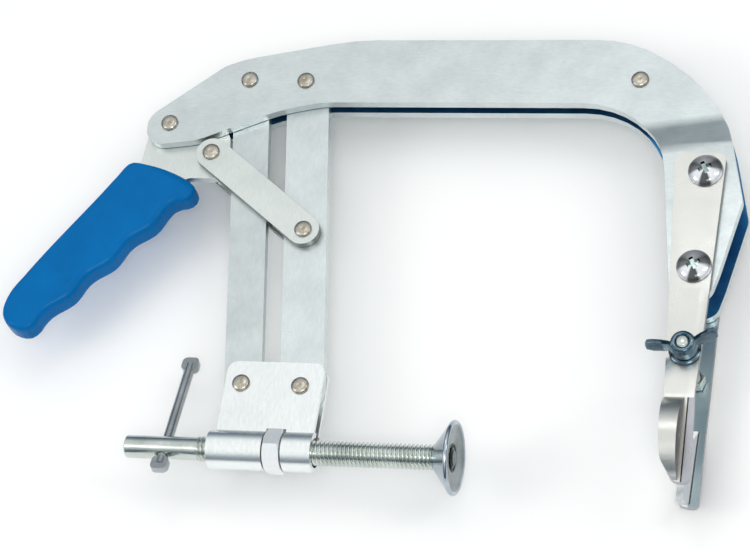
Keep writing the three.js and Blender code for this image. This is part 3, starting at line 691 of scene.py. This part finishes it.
def carve(piece, cutters):
    for cutter in cutters:
        cut = piece.modifiers.new("recess", "BOOLEAN")
        cut.operation = "DIFFERENCE"
        cut.solver = "EXACT"
        cut.object = cutter
    bpy.context.view_layer.update()
    shaped = piece.evaluated_get(bpy.context.evaluated_depsgraph_get())
    mesh = bpy.data.meshes.new_from_object(shaped)
    piece.modifiers.clear()
    old = piece.data
    piece.data = mesh
    bpy.data.meshes.remove(old)
    for cutter in cutters:
        spare = cutter.data
        bpy.data.objects.remove(cutter)
        bpy.data.meshes.remove(spare)
    piece.data.shade_smooth()
    piece.data.set_sharp_from_angle(angle=radians(32))


def recessArm(centre, axis, turn, shape):
    bm = bmesh.new()
    bmesh.ops.create_cube(bm, size=1)
    bmesh.ops.scale(bm, verts=bm.verts, vec=(2 * shape["recess"] * mm, 2 * shape["arm"] * mm, 4 * mm))
    lower = [v for v in bm.verts if v.co.z < 0]
    bmesh.ops.scale(bm, verts=lower, vec=(0.62, 0.8, 1))
    bmesh.ops.translate(bm, verts=bm.verts, vec=(0, 0, (shape["floor"] + 2) * mm))
    if axis.z < 0:
        bmesh.ops.rotate(bm, verts=bm.verts, matrix=Matrix.Rotation(pi, 3, "X"))
    bmesh.ops.rotate(bm, verts=bm.verts, matrix=Matrix.Rotation(turn, 3, "Z"))
    bmesh.ops.translate(bm, verts=bm.verts, vec=centre)
    mesh = bpy.data.meshes.new("recess")
    bm.to_mesh(mesh)
    bm.free()
    cutter = bpy.data.objects.new("recess", mesh)
    scene.collection.objects.link(cutter)
    return cutter


for side, way in (("front", 1), ("rear", -1)):
    for where in ("upper", "lower"):
        node = f"{side}_arm_screw_{where}"
        low, high = boxOf(node)
        middle = middleOf(node)
        axis = upright * way
        seatHeight = high.z - panHead["height"] * mm if way > 0 else low.z + panHead["height"] * mm
        seat = Vector((middle.x, middle.y, seatHeight))
        deep = (high.z - low.z) / mm - panHead["height"]
        outline = [(-deep, 0), (-deep, 2.4), (0.6 - deep, 3.0), (0.0, 3.0)] + panHead["profile"]
        bm = bmesh.new()
        spinProfile(bm, outline, seat, axis, panHead["steps"])
        clean(bm)
        reflectionPaint = paintedReflectionFinish(f"chrome_{side}_{where}", chromeLook, middle)
        head = finishPiece(node + "_pan", bm, node, reflectionPaint, smoothTo=40)
        carve(head, [recessArm(seat, axis, panHead["turn"] + k * pi / 2, panHead) for k in (0, 1)])
        head.data.materials.append(hollowShadow)
        head.data.materials.append(recessFloorShade)
        for face in head.data.polygons:
            height = (face.center.z - seat.z) * way / mm
            reach = (face.center.xy - seat.xy).length / mm
            onFloor = height < panHead["floorTop"]
            inside = reach < panHead["inside"] and height > panHead["lowest"]
            if inside and (onFloor or face.normal.z * way < 0.75):
                face.material_index = 2 if onFloor else 1
print("arms and their screws ready")

# width adjuster
softened("adjuster_lock_nut", "adjuster_lock_nut_hex", screwZinc, edge=0.3, segments=2)

washerProfile = [(0.0, 3.3), (0.0, 5.2), (0.1, 6.9), (0.3, 7.5), (0.7, 7.5), (1.1, 7.0), (1.4, 5.4),
                 (1.4, 3.3), (0.0, 3.3)]
washerSteps = 48
low = boxOf("wing_nut_washer")[0]
middle = middleOf("wing_nut_washer")
bm = bmesh.new()
spinProfile(bm, washerProfile, Vector((middle.x, middle.y, low.z)), upright, washerSteps)
clean(bm)
finishPiece("wing_nut_washer_dished", bm, "wing_nut_washer", wingZinc, smoothTo=40)


boltHeadHeight = 4.2
boltTip = [(-0.7, 0), (-0.7, 2.75), (-0.25, 2.5), (0.0, 2.0), (0.0, 0)]


def makeBolt():
    low, high = boxOf("adjuster_bolt")
    middle = middleOf("wing_nut_washer")
    headTop = Vector((middle.x, middle.y, low.z + boltHeadHeight * mm))
    bm = cutPart("adjuster_bolt", headTop, upright, 1)
    rounded(bm, edgesBetween(bm, 40, 181), endSoftening, 2)
    wound = bmesh.new()
    threadBetween(wound, headTop, upright, (high.z - headTop.z) / mm + boltTip[0][0], boltThread)
    addTo(bm, wound)
    tip = bmesh.new()
    spinProfile(tip, boltTip, Vector((middle.x, middle.y, high.z)), upright, 32)
    clean(tip)
    addTo(bm, tip)
    finishPiece("adjuster_bolt_threaded", bm, "adjuster_bolt", screwZinc, smoothTo=28)


makeBolt()

wingNut = {
    "turn": 13, "thick": 2.2, "voxel": 0.3, "smooth": 10,
    "outline": [(3.6, 0.6), (9.0, 2.6), (13.6, 4.6), (16.4, 7.2), (16.5, 10.8), (15.2, 13.2), (12.4, 12.6),
                (8.8, 10.6), (5.6, 8.0), (3.6, 5.6)],
    "boss": [(0.1, 3.2), (0.1, 6.4), (4.8, 6.2), (7.2, 5.4), (7.6, 4.8), (7.6, 3.2), (0.1, 3.2)],
}


def makeWingNut(shape):
    low = boxOf("wing_nut")[0]
    middle = middleOf("wing_nut_washer")
    seat = Vector((middle.x, middle.y, low.z))
    bm = bmesh.new()
    for side in (0, pi):
        verts = [bm.verts.new((x * mm, -shape["thick"] / 2 * mm, z * mm)) for x, z in shape["outline"]]
        face = bm.faces.new(verts)
        pulled = bmesh.ops.extrude_face_region(bm, geom=[face])
        moved = [g for g in pulled["geom"] if isinstance(g, bmesh.types.BMVert)]
        bmesh.ops.translate(bm, verts=moved, vec=(0, shape["thick"] * mm, 0))
        spread = Matrix.Rotation(side + radians(shape["turn"]), 3, "Z")
        bmesh.ops.rotate(bm, verts=verts + moved, matrix=spread)
    bmesh.ops.recalc_face_normals(bm, faces=bm.faces)
    spinProfile(bm, shape["boss"], Vector((0, 0, 0)), upright, 40)
    clean(bm)
    bmesh.ops.translate(bm, verts=bm.verts, vec=seat)
    piece = finishPiece("wing_nut_forged", bm, "wing_nut", wingZinc, smoothTo=180)
    melt = piece.modifiers.new("melt", "REMESH")
    melt.mode = "VOXEL"
    melt.voxel_size = shape["voxel"] * mm
    melt.use_smooth_shade = True
    ease = piece.modifiers.new("ease", "SMOOTH")
    ease.factor = 0.5
    ease.iterations = shape["smooth"]


makeWingNut(wingNut)
print("width adjuster ready")

# camera, light, floor
view = {
    "place": (0.41765, -0.67803, 1.28997), "right": (0.96044, 0.14769, -0.23609),
    "up": (-0.01884, 0.88030, 0.47403), "lens": 149.7,
}
camera = bpy.data.cameras.new("camera")
camera.lens = view["lens"]
camera.sensor_width = 36
camera.clip_end = 20
cameraObject = bpy.data.objects.new("camera", camera)
right = Vector(view["right"]).normalized()
up = Vector(view["up"])
up = (up - right * up.dot(right)).normalized()
back = right.cross(up)
turned = Matrix((right, up, back)).transposed().to_4x4()
cameraObject.matrix_world = Matrix.Translation(view["place"]) @ turned
scene.collection.objects.link(cameraObject)
scene.camera = cameraObject

floorMesh = bpy.data.meshes.new("floor")
bm = bmesh.new()
bmesh.ops.create_grid(bm, x_segments=1, y_segments=1, size=6)
bm.to_mesh(floorMesh)
bm.free()
floor = bpy.data.objects.new("floor", floorMesh)
scene.collection.objects.link(floor)
floorFinish, nodes, links, shader = newFinish("floor_paper")
shader.inputs["Base Color"].default_value = (1.0, 0.99, 0.975, 1)
shader.inputs["Roughness"].default_value = 0.9
shader.inputs["Specular IOR Level"].default_value = 0.0
floorMesh.materials.append(floorFinish)


def softLight(name, place, size, power, color=(1, 1, 1)):
    light = bpy.data.lights.new(name, "AREA")
    light.shape = "RECTANGLE"
    light.size, light.size_y = size
    light.energy = power
    light.color = color
    lamp = bpy.data.objects.new(name, light)
    aim = (-Vector(place)).to_track_quat("-Z", "Y").to_matrix().to_4x4()
    lamp.matrix_world = Matrix.Translation(place) @ aim
    scene.collection.objects.link(lamp)


softLight("key", (0.55, -0.95, 1.75), (0.6, 0.6), 7)
softLight("left", (-1.5, -0.6, 1.3), (0.7, 0.9), 6)
softLight("right", (1.5, 0.2, 1.5), (0.5, 1.0), 4, (0.97, 0.98, 1))
softLight("back", (0.0, 0.5, 1.4), (0.4, 0.4), 0.9, (0.98, 0.99, 1))

world = bpy.data.worlds.new("studio")
scene.world = world
world.use_nodes = True
worldNodes, worldLinks = world.node_tree.nodes, world.node_tree.links
coordinates = worldNodes.new("ShaderNodeTexCoord")
split = worldNodes.new("ShaderNodeSeparateXYZ")
worldLinks.new(coordinates.outputs["Generated"], split.inputs["Vector"])
sky = rampOf(worldNodes, worldLinks, split.outputs["Z"], [
    (0.0, (0.05, 0.07, 0.1)), (0.2, (0.12, 0.16, 0.21)), (0.45, (0.34, 0.39, 0.43)),
    (0.7, (0.88, 0.91, 0.92)), (1.0, (1.0, 1.0, 1.0))])
worldLinks.new(sky, worldNodes["Background"].inputs["Color"])
worldNodes["Background"].inputs["Strength"].default_value = 1.0

scene.view_settings.view_transform = "Standard"
scene.view_settings.look = "None"
print("camera, light and floor ready")
